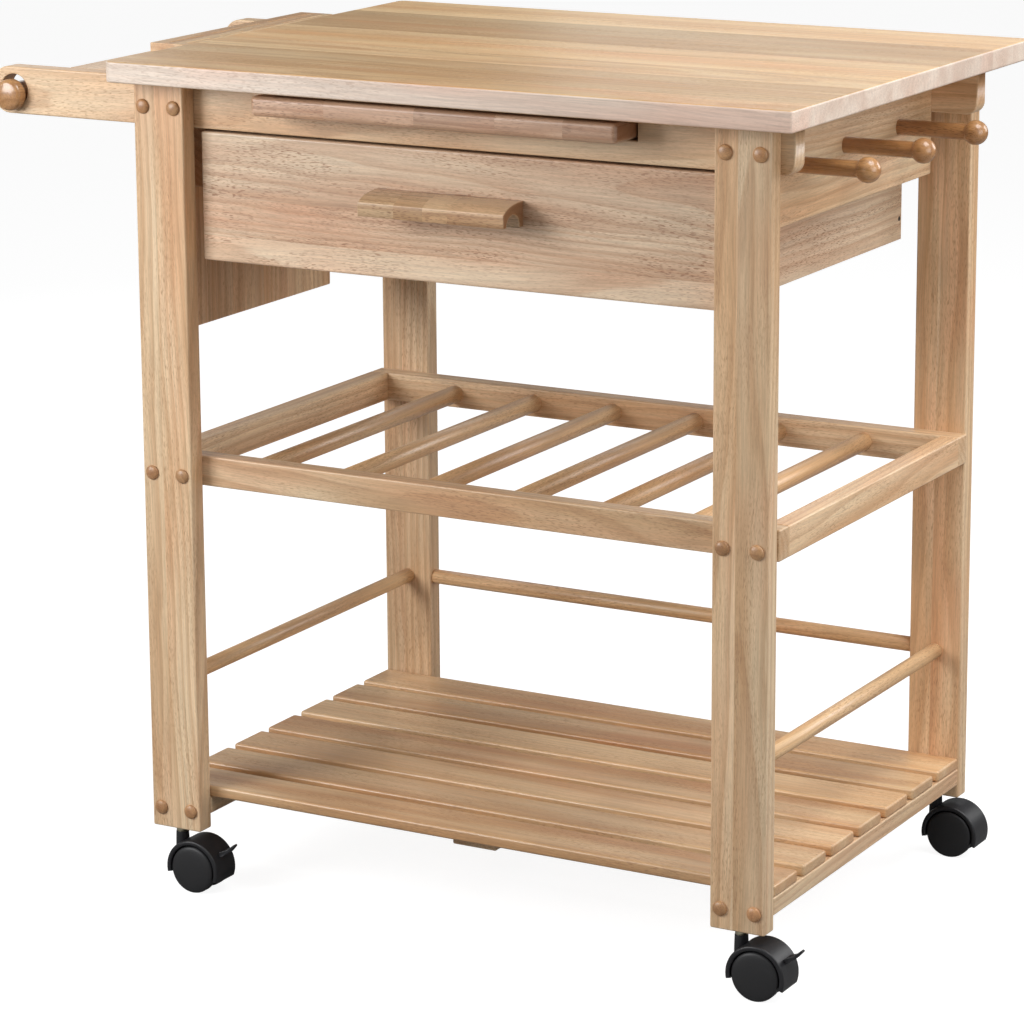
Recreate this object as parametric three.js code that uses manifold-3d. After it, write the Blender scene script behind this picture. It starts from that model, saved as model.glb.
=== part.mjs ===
// Kitchen island cart on four twin-wheel casters, with a drawer, a slide-out cutting board,
// a bottle rack, a slatted shelf, a knife block, a towel rod and three hanging pegs.
// Millimetres, +Z up. The front of the cart faces -Y and its right side +X.
// Pieces are laid out from the front face of the front legs (y = 0), the middle between the
// legs (x = 0) and the floor (z = 0). The last group moves the origin to the middle of the
// whole cart's box, on the floor.
import * as THREE from 'three';
import { mergeVertices } from 'three/addons/utils/BufferGeometryUtils.js';
import Module from 'manifold-3d';

const wasm = await Module();
wasm.setup();

// Driving dimensions
const BOARD = 21; // thickness of the legs, rails and tabletop
const LEG_SPAN_X = 700; // over the outer sides of the legs
const LEG_SPAN_Y = 492; // over the front and rear faces of the legs
const LEG_WIDTH = 58;
const LEG_BOTTOM = 64.5;
const TOP_HEIGHT = 862;
const TOP_LEFT = -361;
const TOP_RIGHT = 386;
const TOP_FRONT = -35;
const TOP_REAR = 537;
const RAIL_HEIGHT = 48;
const RAIL_LEFT = -538;
const RAIL_RIGHT = 364;
const APRON_OUTER = 315;
const APRON_HEIGHT = 111;
const DRAWER_HALF_WIDTH = 285;
const DRAWER_BOTTOM = 661;
const DRAWER_FRONT_TOP = 790.5;
const DRAWER_REAR = 447;
const CUTTING_BOARD = { halfWidth: 200.5, front: -19, rear: 388, bottom: 816, top: 836 };
const RACK = { outer: 352, bottom: 428, top: 459, dowelPitch: 98, dowelRadius: 9.5 };
const SLAT = { count: 7, pitch: 66, width: 53, front: 21.5, bottom: 97, top: 109 };
const SUPPORT_THICKNESS = 18;
const GUARD_DOWEL = { radius: 8, height: 222.5, seat: 9 };
const PEG = { radius: 8, ballRadius: 12.5, ballX: 396.5, z: 789, firstY: 110, pitch: 129, seat: 10 };
const KNIFE_BLOCK = { outer: -402, inner: -361.5, front: 107, rear: 395 };
const KNIFE_SLOT = { width: 3.5, outerRowX: -385.5, innerRowX: -366.5 };
const KNIFE_GUARD = { outer: -379.5, inner: -370, bottom: 565 };
const SIDE_BOARD_OUTER = -456;
const TOWEL_ROD = { x: -511.5, z: 813, radius: 12, knobRadius: 16, holeRadius: 16.5, rear: 479 };
const CASTER = {
  trail: 22, wheelRadius: 25, halfWidth: 20, wheelGap: 13, webThickness: 8,
  hoodInner: 27.5, hoodOuter: 31, hoodHalfWidth: 18, axleRadius: 4,
  stemRadius: 4, stemSeat: 30, neckRadius: 6,
};
const GAP = 0.3; // left between a turned or bored piece and its neighbour

// Sizes that follow from them
const TOP_UNDERSIDE = TOP_HEIGHT - BOARD;
const LEG_OUTER = LEG_SPAN_X / 2;
const LEG_INNER = LEG_OUTER - LEG_WIDTH;
const LEG_MIDDLE = LEG_OUTER - LEG_WIDTH / 2;
const REAR_LEG_FRONT = LEG_SPAN_Y - BOARD;
const FRONT_RAIL_REAR = 2 * BOARD;
const REAR_RAIL_FRONT = LEG_SPAN_Y - 2 * BOARD;
const RAIL_BOTTOM = TOP_UNDERSIDE - RAIL_HEIGHT;
const RAIL_MIDDLE = TOP_UNDERSIDE - RAIL_HEIGHT / 2;
const CART_MIDDLE_X = (RAIL_LEFT + PEG.ballX + PEG.ballRadius) / 2;
const CART_MIDDLE_Y = (TOP_FRONT + TOP_REAR) / 2;

// Materials
const wood = (color) => new THREE.MeshStandardMaterial({ color, roughness: 0.45, metalness: 0 });
const TOP_WOOD = 0xd8b183;
const FRAME_WOOD = 0xd2ab84;
const SHADED_WOOD = 0xb98a62;
const TURNED_WOOD = 0xb9834f;
const BLACK_PLASTIC = 0x1d1e20;
const plastic = () => new THREE.MeshStandardMaterial({ color: BLACK_PLASTIC, roughness: 0.5, metalness: 0 });

const cart = new THREE.Group();

function addMesh(name, geometry, material) {
  const mesh = new THREE.Mesh(geometry, material);
  mesh.name = name;
  cart.add(mesh);
  return mesh;
}

// Geometry helpers
function block([x0, x1], [y0, y1], [z0, z1]) {
  const box = new THREE.BoxGeometry(x1 - x0, y1 - y0, z1 - z0);
  return box.translate((x0 + x1) / 2, (y0 + y1) / 2, (z0 + z1) / 2);
}

// A rod between two values of y, or of x when axis is 'x'
function rod(axis, from, to, radius, a, b, sides = 16) {
  const cylinder = new THREE.CylinderGeometry(radius, radius, to - from, sides);
  if (axis === 'x') {
    return cylinder.rotateZ(Math.PI / 2).translate((from + to) / 2, a, b);
  }
  return cylinder.translate(a, (from + to) / 2, b);
}

function uprightRod(z0, z1, radius, x, y, sides = 12) {
  const cylinder = new THREE.CylinderGeometry(radius, radius, z1 - z0, sides);
  return cylinder.rotateX(Math.PI / 2).translate(x, y, (z0 + z1) / 2);
}

// An outline in x and z, extruded from y0 to y1
function extrudeAlongY(shape, y0, y1, curveSegments = 6) {
  const options = { depth: y1 - y0, bevelEnabled: false, curveSegments };
  return new THREE.ExtrudeGeometry(shape, options).rotateX(Math.PI / 2).translate(0, y1, 0);
}

// An outline in y and z, extruded from x0 to x1
function extrudeAlongX(shape, x0, x1, curveSegments = 6) {
  const options = { depth: x1 - x0, bevelEnabled: false, curveSegments };
  const geometry = new THREE.ExtrudeGeometry(shape, options);
  return geometry.rotateX(Math.PI / 2).rotateZ(Math.PI / 2).translate(x0, 0, 0);
}

function toManifold(geometry) {
  const bare = geometry.clone();
  bare.deleteAttribute('normal');
  bare.deleteAttribute('uv');
  const merged = mergeVertices(bare, 1e-4);
  const mesh = new wasm.Mesh({
    numProp: 3,
    vertProperties: new Float32Array(merged.attributes.position.array),
    triVerts: new Uint32Array(merged.index.array),
  });
  return new wasm.Manifold(mesh);
}

function toGeometry(solid) {
  const mesh = solid.getMesh();
  const geometry = new THREE.BufferGeometry();
  geometry.setAttribute('position', new THREE.BufferAttribute(mesh.vertProperties, 3));
  geometry.setIndex(new THREE.BufferAttribute(mesh.triVerts, 1));
  geometry.computeVertexNormals();
  return geometry;
}

function cut(geometry, ...tools) {
  const solid = tools.reduce((left, tool) => left.subtract(toManifold(tool)), toManifold(geometry));
  return toGeometry(solid);
}

function join(geometry, ...others) {
  const solid = others.reduce((sum, other) => sum.add(toManifold(other)), toManifold(geometry));
  return toGeometry(solid);
}

// Tabletop: one glued slab with rounded corners and edges
function makeTabletop() {
  const edgeRadius = 4;
  const cornerRadius = 5;
  const x0 = TOP_LEFT + edgeRadius;
  const x1 = TOP_RIGHT - edgeRadius;
  const y0 = TOP_FRONT + edgeRadius;
  const y1 = TOP_REAR - edgeRadius;
  const outline = new THREE.Shape();
  outline.moveTo(x0 + cornerRadius, y0);
  outline.lineTo(x1 - cornerRadius, y0);
  outline.absarc(x1 - cornerRadius, y0 + cornerRadius, cornerRadius, -Math.PI / 2, 0);
  outline.lineTo(x1, y1 - cornerRadius);
  outline.absarc(x1 - cornerRadius, y1 - cornerRadius, cornerRadius, 0, Math.PI / 2);
  outline.lineTo(x0 + cornerRadius, y1);
  outline.absarc(x0 + cornerRadius, y1 - cornerRadius, cornerRadius, Math.PI / 2, Math.PI);
  outline.lineTo(x0, y0 + cornerRadius);
  outline.absarc(x0 + cornerRadius, y0 + cornerRadius, cornerRadius, Math.PI, 1.5 * Math.PI);
  const geometry = new THREE.ExtrudeGeometry(outline, {
    depth: BOARD - 2 * edgeRadius,
    bevelEnabled: true,
    bevelThickness: edgeRadius,
    bevelSize: edgeRadius,
    bevelSegments: 2,
    curveSegments: 3,
  });
  addMesh('tabletop', geometry.translate(0, 0, TOP_UNDERSIDE + edgeRadius), wood(TOP_WOOD));
}

// Legs: flat boards, bored from below for the caster stems and from the side for the dowels
function makeLegs() {
  const seatRadius = GUARD_DOWEL.radius + GAP;
  for (const [end, y0] of [['front', 0], ['rear', REAR_LEG_FRONT]]) {
    for (const [side, sign] of [['left', -1], ['right', 1]]) {
      const middle = sign * LEG_MIDDLE;
      const xRange = [middle - LEG_WIDTH / 2, middle + LEG_WIDTH / 2];
      const leg = block(xRange, [y0, y0 + BOARD], [LEG_BOTTOM, TOP_UNDERSIDE]);
      const stemTop = LEG_BOTTOM + CASTER.stemSeat + 1;
      const stemBore = uprightRod(LEG_BOTTOM - 1, stemTop, CASTER.stemRadius + 0.6, middle, y0 + BOARD / 2);
      const innerFace = end === 'front' ? BOARD : REAR_LEG_FRONT;
      const sideSeat = rod('y', innerFace - GUARD_DOWEL.seat - GAP, innerFace + GUARD_DOWEL.seat + GAP,
        seatRadius, middle, GUARD_DOWEL.height);
      const bores = [stemBore, sideSeat];
      if (end === 'rear') {
        const inner = sign * LEG_INNER;
        bores.push(rod('x', inner - GUARD_DOWEL.seat - GAP, inner + GUARD_DOWEL.seat + GAP,
          seatRadius, y0 + BOARD / 2, GUARD_DOWEL.height));
      }
      addMesh(`leg_${end}_${side}`, cut(leg, ...bores), wood(FRAME_WOOD));
    }
  }
}

// Upper rails: each runs on to the left as an arm with a round hole for the towel rod
function railOutline(withNotch) {
  const endRadius = 20;
  const lowerRightRadius = 12;
  const notchHalfWidth = CUTTING_BOARD.halfWidth + 4;
  const notchBottom = CUTTING_BOARD.bottom - 3.5;
  const outline = new THREE.Shape();
  outline.moveTo(RAIL_LEFT + endRadius, RAIL_BOTTOM);
  outline.lineTo(RAIL_RIGHT - lowerRightRadius, RAIL_BOTTOM);
  outline.absarc(RAIL_RIGHT - lowerRightRadius, RAIL_BOTTOM + lowerRightRadius, lowerRightRadius,
    -Math.PI / 2, 0);
  outline.lineTo(RAIL_RIGHT, TOP_UNDERSIDE);
  if (withNotch) {
    outline.lineTo(notchHalfWidth, TOP_UNDERSIDE);
    outline.lineTo(notchHalfWidth, notchBottom);
    outline.lineTo(-notchHalfWidth, notchBottom);
    outline.lineTo(-notchHalfWidth, TOP_UNDERSIDE);
  }
  outline.lineTo(RAIL_LEFT + endRadius, TOP_UNDERSIDE);
  outline.absarc(RAIL_LEFT + endRadius, TOP_UNDERSIDE - endRadius, endRadius, Math.PI / 2, Math.PI);
  outline.lineTo(RAIL_LEFT, RAIL_BOTTOM + endRadius);
  outline.absarc(RAIL_LEFT + endRadius, RAIL_BOTTOM + endRadius, endRadius, Math.PI, 1.5 * Math.PI);
  const hole = new THREE.Path();
  hole.absarc(TOWEL_ROD.x, RAIL_MIDDLE, TOWEL_ROD.holeRadius, 0, 2 * Math.PI, true);
  outline.holes.push(hole);
  return outline;
}

function makeRails() {
  const front = extrudeAlongY(railOutline(true), BOARD, FRONT_RAIL_REAR, 9);
  const rear = extrudeAlongY(railOutline(false), REAR_RAIL_FRONT, REAR_LEG_FRONT, 9);
  addMesh('front_rail', front, wood(FRAME_WOOD));
  addMesh('rear_rail', rear, wood(FRAME_WOOD));
}

// Side aprons; the right one carries the three pegs
function makeApronsAndPegs() {
  const inner = APRON_OUTER - BOARD;
  const yRange = [FRONT_RAIL_REAR, REAR_RAIL_FRONT];
  const zRange = [TOP_UNDERSIDE - APRON_HEIGHT, TOP_UNDERSIDE];
  addMesh('apron_left', block([-APRON_OUTER, -inner], yRange, zRange), wood(SHADED_WOOD));
  const pegYs = [0, 1, 2].map((i) => PEG.firstY + i * PEG.pitch);
  const seatBottom = APRON_OUTER - PEG.seat - GAP;
  const seats = pegYs.map((y) => rod('x', seatBottom, APRON_OUTER + 1, PEG.radius + GAP, y, PEG.z));
  addMesh('apron_right', cut(block([inner, APRON_OUTER], yRange, zRange), ...seats), wood(FRAME_WOOD));
  pegYs.forEach((y, i) => {
    const start = APRON_OUTER - PEG.seat;
    const neckAngle = Math.PI - Math.asin(PEG.radius / PEG.ballRadius);
    const profile = [new THREE.Vector2(0, start), new THREE.Vector2(PEG.radius, start)];
    const steps = 7;
    for (let k = 0; k <= steps; k += 1) {
      const angle = neckAngle * (1 - k / steps);
      const radius = k === steps ? 0 : PEG.ballRadius * Math.sin(angle);
      profile.push(new THREE.Vector2(radius, PEG.ballX + PEG.ballRadius * Math.cos(angle)));
    }
    const geometry = new THREE.LatheGeometry(profile, 16).rotateZ(-Math.PI / 2);
    addMesh(`peg_${i + 1}`, geometry.translate(0, y, PEG.z), wood(TURNED_WOOD));
  });
}

function makeCuttingBoard() {
  const { halfWidth, front, rear, bottom, top } = CUTTING_BOARD;
  addMesh('cutting_board', block([-halfWidth, halfWidth], [front, rear], [bottom, top]), wood(TURNED_WOOD));
  const ledgeInner = halfWidth - 16;
  const lipInner = halfWidth + 3;
  const outer = halfWidth + 15;
  const ledgeTop = bottom - GAP;
  const ledgeBottom = DRAWER_FRONT_TOP + 2.5;
  for (const [side, sign] of [['left', -1], ['right', 1]]) {
    const outline = new THREE.Shape([
      [ledgeInner, ledgeBottom], [outer, ledgeBottom], [outer, top], [lipInner, top],
      [lipInner, ledgeTop], [ledgeInner, ledgeTop],
    ].map(([x, z]) => new THREE.Vector2(sign * x, z)));
    const geometry = extrudeAlongY(outline, FRONT_RAIL_REAR, REAR_RAIL_FRONT);
    addMesh(`board_guide_${side}`, geometry, wood(SHADED_WOOD));
  }
}

// Drawer: front, two grooved sides, back and bottom panel, with a coved handle
function makeDrawer() {
  const frontThickness = 18;
  const sideThickness = 13;
  const sideTop = DRAWER_FRONT_TOP - 3.5;
  const sideInner = DRAWER_HALF_WIDTH - sideThickness;
  const boxFront = BOARD + frontThickness;
  const bottomPanel = { bottom: DRAWER_BOTTOM + 8, thickness: 4, seat: 4 };
  const panelTop = bottomPanel.bottom + bottomPanel.thickness;
  const groove = { bottom: 743, top: 757.5, depth: 7 };
  const xRange = [-DRAWER_HALF_WIDTH, DRAWER_HALF_WIDTH];
  const zRange = [DRAWER_BOTTOM, DRAWER_FRONT_TOP];
  addMesh('drawer_front', block(xRange, [BOARD, boxFront], zRange), wood(FRAME_WOOD));
  for (const [side, sign] of [['left', -1], ['right', 1]]) {
    const grooveFloor = DRAWER_HALF_WIDTH - groove.depth;
    const seatFloor = sideInner + bottomPanel.seat + GAP;
    const outline = new THREE.Shape([
      [sideInner, DRAWER_BOTTOM], [DRAWER_HALF_WIDTH, DRAWER_BOTTOM],
      [DRAWER_HALF_WIDTH, groove.bottom], [grooveFloor, groove.bottom],
      [grooveFloor, groove.top], [DRAWER_HALF_WIDTH, groove.top],
      [DRAWER_HALF_WIDTH, sideTop], [sideInner, sideTop],
      [sideInner, panelTop + GAP], [seatFloor, panelTop + GAP],
      [seatFloor, bottomPanel.bottom - GAP], [sideInner, bottomPanel.bottom - GAP],
    ].map(([x, z]) => new THREE.Vector2(sign * x, z)));
    addMesh(`drawer_side_${side}`, extrudeAlongY(outline, boxFront, DRAWER_REAR), wood(FRAME_WOOD));
    const runner = [sign * (grooveFloor + 1), sign * (APRON_OUTER - BOARD)].sort((a, b) => a - b);
    const runnerGeometry = block(runner, [60, 440], [groove.bottom + 1, groove.top - 1]);
    addMesh(`drawer_runner_${side}`, runnerGeometry, wood(SHADED_WOOD));
  }
  const backX = [-sideInner, sideInner];
  const backZ = [panelTop + GAP, sideTop - 7];
  addMesh('drawer_back', block(backX, [DRAWER_REAR - 12, DRAWER_REAR], backZ), wood(FRAME_WOOD));
  const panelHalf = sideInner + bottomPanel.seat;
  const panelZ = [bottomPanel.bottom, panelTop];
  const panel = block([-panelHalf, panelHalf], [boxFront, DRAWER_REAR], panelZ);
  addMesh('drawer_bottom', panel, wood(FRAME_WOOD));
  makeHandle();
}

function makeHandle() {
  const halfLength = 80.5;
  const lipFront = -18;
  const backTop = 749;
  const backBottom = 724;
  const outline = new THREE.Shape();
  outline.moveTo(BOARD, backBottom);
  outline.lineTo(BOARD, backTop);
  outline.quadraticCurveTo(lipFront + 6, backTop - 1, lipFront, 740);
  outline.lineTo(lipFront, 728);
  outline.lineTo(lipFront + 8, 727);
  outline.quadraticCurveTo(lipFront + 12, 740, 4, 739);
  outline.quadraticCurveTo(12, 738, 13, backBottom);
  addMesh('drawer_handle', extrudeAlongX(outline, -halfLength, halfLength), wood(TURNED_WOOD));
}

// Bottle rack: a frame of four rails with six dowels running front to back
function makeRack() {
  const dowelSeat = 10;
  const dowelZ = (RACK.bottom + RACK.top) / 2;
  const dowelXs = [0, 1, 2, 3, 4, 5].map((i) => (i - 2.5) * RACK.dowelPitch);
  const zRange = [RACK.bottom, RACK.top];
  const xRange = [-RACK.outer, RACK.outer];
  const seatRadius = RACK.dowelRadius + GAP;
  const seatsAt = (from, to) => dowelXs.map((x) => rod('y', from, to, seatRadius, x, dowelZ, 12));
  const frontSeats = seatsAt(FRONT_RAIL_REAR - dowelSeat - GAP, FRONT_RAIL_REAR + 1);
  const rearSeats = seatsAt(REAR_RAIL_FRONT - 1, REAR_RAIL_FRONT + dowelSeat + GAP);
  const frontRail = cut(block(xRange, [BOARD, FRONT_RAIL_REAR], zRange), ...frontSeats);
  const rearRail = cut(block(xRange, [REAR_RAIL_FRONT, REAR_LEG_FRONT], zRange), ...rearSeats);
  addMesh('rack_front_rail', frontRail, wood(FRAME_WOOD));
  addMesh('rack_rear_rail', rearRail, wood(FRAME_WOOD));
  for (const [side, sign] of [['left', -1], ['right', 1]]) {
    const x = [sign * RACK.outer, sign * (RACK.outer - BOARD)].sort((a, b) => a - b);
    const rail = block(x, [FRONT_RAIL_REAR, REAR_RAIL_FRONT], zRange);
    addMesh(`rack_side_rail_${side}`, rail, wood(side === 'left' ? SHADED_WOOD : FRAME_WOOD));
  }
  dowelXs.forEach((x, i) => {
    const from = FRONT_RAIL_REAR - dowelSeat;
    const to = REAR_RAIL_FRONT + dowelSeat;
    addMesh(`rack_dowel_${i + 1}`, rod('y', from, to, RACK.dowelRadius, x, dowelZ, 12), wood(TURNED_WOOD));
  });
}

// Slatted bottom shelf on three cross supports
function makeBottomShelf() {
  for (let i = 0; i < SLAT.count; i += 1) {
    const y = SLAT.front + i * SLAT.pitch;
    const slat = block([-LEG_OUTER, LEG_OUTER], [y, y + SLAT.width], [SLAT.bottom, SLAT.top]);
    addMesh(`slat_${i + 1}`, slat, wood(TOP_WOOD));
  }
  const zRange = [SLAT.bottom - SUPPORT_THICKNESS, SLAT.bottom];
  const yRange = [BOARD, REAR_LEG_FRONT];
  addMesh('slat_support_left', block([-LEG_OUTER, -LEG_INNER], yRange, zRange), wood(FRAME_WOOD));
  addMesh('slat_support_right', block([LEG_INNER, LEG_OUTER], yRange, zRange), wood(FRAME_WOOD));
  const middleHalfWidth = 25;
  const setBack = 36;
  const middleY = [BOARD + setBack, REAR_LEG_FRONT - setBack];
  addMesh('slat_support_middle', block([-middleHalfWidth, middleHalfWidth], middleY, zRange), wood(FRAME_WOOD));
}

// Guard dowels round three sides of the lower bay
function makeGuardDowels() {
  const { radius, height, seat } = GUARD_DOWEL;
  for (const [side, sign] of [['left', -1], ['right', 1]]) {
    const dowel = rod('y', BOARD - seat, REAR_LEG_FRONT + seat, radius, sign * LEG_MIDDLE, height);
    addMesh(`guard_dowel_${side}`, dowel, wood(TURNED_WOOD));
  }
  const rearY = REAR_LEG_FRONT + BOARD / 2;
  const rear = rod('x', -LEG_INNER - seat, LEG_INNER + seat, radius, rearY, height);
  addMesh('guard_dowel_rear', rear, wood(TURNED_WOOD));
}

// Left side: a board between the arms, the slotted knife block on it and the guard below
function makeKnifeStation() {
  const { width, outerRowX, innerRowX } = KNIFE_SLOT;
  const sideBoardBottom = TOP_UNDERSIDE - BOARD;
  const slots = [];
  for (const [x, ranges] of [
    [outerRowX, [[121, 181], [197, 287], [303, 381]]],
    [innerRowX, [[121, 166], [182, 227], [243, 288], [304, 381]]],
  ]) {
    for (const yRange of ranges) {
      slots.push(block([x - width / 2, x + width / 2], yRange, [sideBoardBottom - 1, TOP_HEIGHT + 1]));
    }
  }
  const blockX = [KNIFE_BLOCK.outer, KNIFE_BLOCK.inner];
  const blockY = [KNIFE_BLOCK.front, KNIFE_BLOCK.rear];
  const knifeBlock = block(blockX, blockY, [TOP_UNDERSIDE, TOP_HEIGHT]);
  addMesh('knife_block', cut(knifeBlock, ...slots), wood(TURNED_WOOD));
  const boardY = [FRONT_RAIL_REAR, REAR_RAIL_FRONT];
  const boardZ = [sideBoardBottom, TOP_UNDERSIDE];
  const sideBoard = block([SIDE_BOARD_OUTER, -APRON_OUTER], boardY, boardZ);
  addMesh('side_board', cut(sideBoard, ...slots), wood(TOP_WOOD));
  const guardX = [KNIFE_GUARD.outer, KNIFE_GUARD.inner];
  const guard = block(guardX, blockY, [KNIFE_GUARD.bottom, sideBoardBottom]);
  addMesh('knife_guard', guard, wood(SHADED_WOOD));
}

// Towel rod: lies loose in the arm holes and pulls out to the front by its knob
function makeTowelRod() {
  const knobFront = 5.5;
  const knobRear = BOARD - GAP;
  const { radius, knobRadius, rear } = TOWEL_ROD;
  const rounding = 4;
  const profile = [
    [0, knobFront], [knobRadius - 8, knobFront + 0.5], [knobRadius - 2, knobFront + rounding - 1],
    [knobRadius, knobFront + rounding + 2], [knobRadius, knobRear - 3], [knobRadius - 2, knobRear],
    [radius, knobRear], [radius, rear - 2], [radius - 2, rear], [0, rear],
  ].map(([r, y]) => new THREE.Vector2(r, y));
  const geometry = new THREE.LatheGeometry(profile, 20).translate(TOWEL_ROD.x, 0, TOWEL_ROD.z);
  addMesh('towel_rod', geometry, wood(TURNED_WOOD));
}

// Casters: a hood with its stem swivels in the leg, and a wheel pair on an axle turns in it
function hoodGeometry() {
  const c = CASTER;
  const lowAngle = THREE.MathUtils.degToRad(-20);
  const highAngle = THREE.MathUtils.degToRad(192);
  const shell = new THREE.Shape();
  shell.absarc(c.trail, c.wheelRadius, c.hoodOuter, lowAngle, highAngle, false);
  shell.absarc(c.trail, c.wheelRadius, c.hoodInner, highAngle, lowAngle, true);
  const shellSolid = extrudeAlongY(shell, -c.hoodHalfWidth, c.hoodHalfWidth, 12);
  const web = new THREE.Shape();
  web.absarc(c.trail, c.wheelRadius, c.hoodInner + 1, lowAngle, highAngle, false);
  web.lineTo(c.trail - 9, c.wheelRadius - 12);
  web.lineTo(c.trail + 9, c.wheelRadius - 12);
  const webSolid = extrudeAlongY(web, -c.webThickness / 2, c.webThickness / 2, 12);
  const neck = uprightRod(c.wheelRadius, LEG_BOTTOM - 1.5, c.neckRadius, 0, 0);
  const stem = uprightRod(LEG_BOTTOM - 2, LEG_BOTTOM + c.stemSeat, c.stemRadius, 0, 0);
  const bore = rod('y', -c.halfWidth, c.halfWidth, c.axleRadius + 0.6, c.trail, c.wheelRadius, 12);
  return cut(join(shellSolid, webSolid, neck, stem), bore);
}

function wheelGeometry() {
  const c = CASTER;
  const half = c.halfWidth;
  const innerY = c.wheelGap / 2;
  const bevel = 2;
  const profile = [
    [0, -half], [c.wheelRadius - bevel - 1, -half], [c.wheelRadius, -half + bevel + 1],
    [c.wheelRadius, -innerY - bevel], [c.wheelRadius - bevel, -innerY], [c.axleRadius, -innerY],
    [c.axleRadius, innerY], [c.wheelRadius - bevel, innerY], [c.wheelRadius, innerY + bevel],
    [c.wheelRadius, half - bevel - 1], [c.wheelRadius - bevel - 1, half], [0, half],
  ].map(([r, y]) => new THREE.Vector2(r, y));
  return new THREE.LatheGeometry(profile, 20).translate(c.trail, 0, c.wheelRadius);
}

// The lever's knuckle sits on the hood's trailing side, 32 degrees above the axle
function leverGeometry() {
  const c = CASTER;
  const angle = THREE.MathUtils.degToRad(32);
  const knuckleRadius = 2.5;
  const halfWidth = 6;
  const reach = 17;
  const tip = new THREE.Shape();
  tip.absarc(0, 0, knuckleRadius, Math.PI / 2, 1.5 * Math.PI, false);
  tip.lineTo(reach, -0.8);
  tip.absarc(reach, 0.2, 1, -Math.PI / 2, Math.PI / 2, false);
  const lever = extrudeAlongY(tip, -halfWidth, halfWidth);
  const pivot = c.hoodOuter + knuckleRadius + GAP;
  const x = c.trail + pivot * Math.cos(angle);
  const z = c.wheelRadius + pivot * Math.sin(angle);
  return lever.rotateY(-angle).translate(x, 0, z);
}

function makeCasters() {
  for (const [end, y] of [['front', BOARD / 2], ['rear', REAR_LEG_FRONT + BOARD / 2]]) {
    for (const [side, sign] of [['left', -1], ['right', 1]]) {
      const place = (mesh) => mesh.position.set(sign * LEG_MIDDLE, y, 0);
      place(addMesh(`caster_hood_${end}_${side}`, hoodGeometry(), plastic()));
      place(addMesh(`caster_wheels_${end}_${side}`, wheelGeometry(), plastic()));
      if (end === 'front') {
        place(addMesh(`brake_lever_${side}`, leverGeometry(), plastic()));
      }
    }
  }
}

makeTabletop();
makeLegs();
makeRails();
makeApronsAndPegs();
makeCuttingBoard();
makeDrawer();
makeRack();
makeBottomShelf();
makeGuardDowels();
makeKnifeStation();
makeTowelRod();
makeCasters();

cart.position.set(-CART_MIDDLE_X, -CART_MIDDLE_Y, 0);
const model = new THREE.Group();
model.add(cart);
export default model;
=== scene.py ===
import math
import random
from bisect import bisect

import bmesh
import bpy
from mathutils import Matrix, Vector


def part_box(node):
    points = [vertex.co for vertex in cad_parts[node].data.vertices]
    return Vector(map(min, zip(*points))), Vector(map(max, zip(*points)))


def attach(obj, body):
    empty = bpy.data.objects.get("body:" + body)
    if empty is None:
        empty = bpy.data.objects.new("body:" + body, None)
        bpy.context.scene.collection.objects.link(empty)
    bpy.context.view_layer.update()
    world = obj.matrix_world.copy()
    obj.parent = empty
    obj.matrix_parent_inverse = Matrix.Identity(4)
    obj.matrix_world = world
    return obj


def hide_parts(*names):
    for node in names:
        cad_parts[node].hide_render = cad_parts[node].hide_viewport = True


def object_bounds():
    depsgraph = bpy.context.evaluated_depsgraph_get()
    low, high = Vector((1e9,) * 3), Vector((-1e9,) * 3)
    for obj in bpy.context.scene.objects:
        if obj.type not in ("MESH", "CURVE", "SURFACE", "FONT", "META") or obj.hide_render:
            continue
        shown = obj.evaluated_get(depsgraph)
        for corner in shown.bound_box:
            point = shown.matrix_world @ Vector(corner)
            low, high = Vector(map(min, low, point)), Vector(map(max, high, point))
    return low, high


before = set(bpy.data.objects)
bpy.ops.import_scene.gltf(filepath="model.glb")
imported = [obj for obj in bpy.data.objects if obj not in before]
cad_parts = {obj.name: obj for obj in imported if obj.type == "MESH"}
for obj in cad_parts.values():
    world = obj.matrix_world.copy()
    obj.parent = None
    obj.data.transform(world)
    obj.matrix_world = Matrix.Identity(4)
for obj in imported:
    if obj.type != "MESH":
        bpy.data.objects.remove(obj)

cad_low, cad_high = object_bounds()

MM = 0.001
X, Y, Z = 0, 1, 2

# Camera, at the viewing angle of the reference
CAMERA_PLACE = (1.9053, -3.3935, 1.3641)
CAMERA_YAW = 29.283  # degrees from looking along +Y, towards -X
CAMERA_PITCH = 13.015  # degrees below the horizon
CAMERA_ROLL = -0.342
CAMERA_LENS = 135.94
CAMERA_SHIFT_Y = -0.078

# Wood figure: ripples per metre along the trunk, then across it in both directions
RING_PITCH = 7.5 * MM  # between growth rings
RING_WAVE = (3.0, 18.0, 18.0)
RING_BEND = (0.0, 20 * MM, 20 * MM)  # how far the waves push a ring
FIBRE = (14.0, 560.0, 560.0)
PATCH = (2.2, 26.0, 26.0)
BLUSH = (5.0, 20.0, 20.0)
BLUSH_SHIFT = (3.7, 1.9, 0.4)  # so that blush and patch don't fall in the same places
PORE = (170.0, 1700.0, 1700.0)
PORE_CROWD = (6.0, 40.0, 40.0)

# Roundings of the sawn pieces
BOARD_ROUND = 1.8 * MM
RAIL_ROUND = 1.5 * MM
TOP_ROUND = 2.2 * MM
DRAWER_ROUND = 2.5 * MM
SLAT_ROUND = 3 * MM
CUTTING_BOARD_ROUND = 5 * MM
THIN_ROUND = 0.8 * MM
PANEL_ROUND = 0.5 * MM
TOP_CORNER_LEFT, TOP_CORNER_RIGHT = 8 * MM, 2.5 * MM  # of the tabletop, seen from above
WELD = 1e-6  # points closer than this are one

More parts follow.
